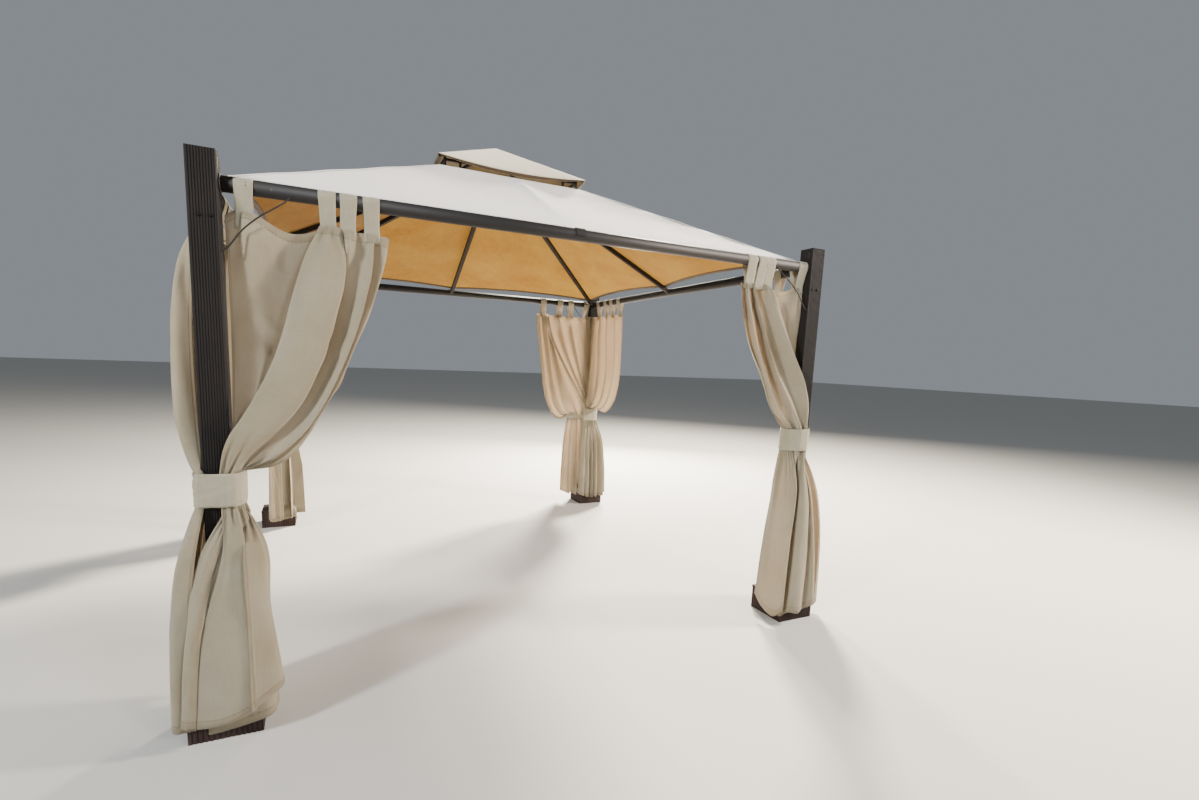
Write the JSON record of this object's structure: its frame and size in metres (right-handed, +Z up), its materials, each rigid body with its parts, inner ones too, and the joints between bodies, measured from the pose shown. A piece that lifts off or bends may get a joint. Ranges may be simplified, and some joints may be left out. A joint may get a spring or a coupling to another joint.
{
  "type": "garden cabana tent with tied-back curtains",
  "caption": "Square open-sided garden cabana: square posts in foot boxes, round beams, hipped fabric roof with a raised vent cap, and tab-top curtains tied back at the corners.",
  "frame": {"origin": "on the ground at the middle of the plan", "axes": "+Z up; -Y is the front, the side that the picture looks at; +X to the right of the front"},
  "size_m": [3.4574, 3.4261, 3.0718],
  "materials": {
    "post": "ridged wood-plastic composite, dark brown, matt",
    "foot_box": "ridged wood-plastic composite boards, dark red-brown, matt",
    "frame": "powder coat, dark grey-brown, satin",
    "roof_cloth": "woven polyester, off-white, matt, lets light through",
    "curtain_cloth": "woven polyester, greige, matt, lets light through"
  },
  "bodies": {
    "root": {"post_front_left": "post", "post_front_right": "post", "post_back_right": "post", "post_back_left": "post", "foot_box_front_left": "foot_box", "foot_box_front_right": "foot_box", "foot_box_back_right": "foot_box", "foot_box_back_left": "foot_box", "beam_front": "frame", "beam_back": "frame", "beam_left": "frame", "beam_right": "frame", "corner_plate_front_left": "frame", "corner_plate_front_right": "frame", "corner_plate_back_right": "frame", "corner_plate_back_left": "frame", "roof_ring": "frame", "middle_rib_right": "frame", "middle_rib_back": "frame", "middle_rib_left": "frame", "middle_rib_front": "frame", "hip_rib_front_left": "frame", "hip_rib_front_right": "frame", "hip_rib_back_right": "frame", "hip_rib_back_left": "frame", "vent_frame": "frame", "corner_stay_front_left": "frame", "corner_stay_front_right": "frame", "corner_stay_back_right": "frame", "corner_stay_back_left": "frame", "roof_slope_right": "roof_cloth", "roof_slope_back": "roof_cloth", "roof_slope_left": "roof_cloth", "roof_slope_front": "roof_cloth", "vent_cap_canopy": "roof_cloth", "curtain_front_left_on_front_beam": "curtain_cloth", "curtain_front_left_on_left_beam": "curtain_cloth", "curtain_front_right_on_front_beam": "curtain_cloth", "curtain_front_right_on_right_beam": "curtain_cloth", "curtain_back_right_on_right_beam": "curtain_cloth", "curtain_back_right_on_back_beam": "curtain_cloth", "curtain_back_left_on_back_beam": "curtain_cloth", "curtain_back_left_on_left_beam": "curtain_cloth", "tie_front_left": "curtain_cloth", "tie_front_right": "curtain_cloth", "tie_back_right": "curtain_cloth", "tie_back_left": "curtain_cloth", "strap_back_right": "curtain_cloth", "strap_back_left": "curtain_cloth"}
  },
  "joints": []
}
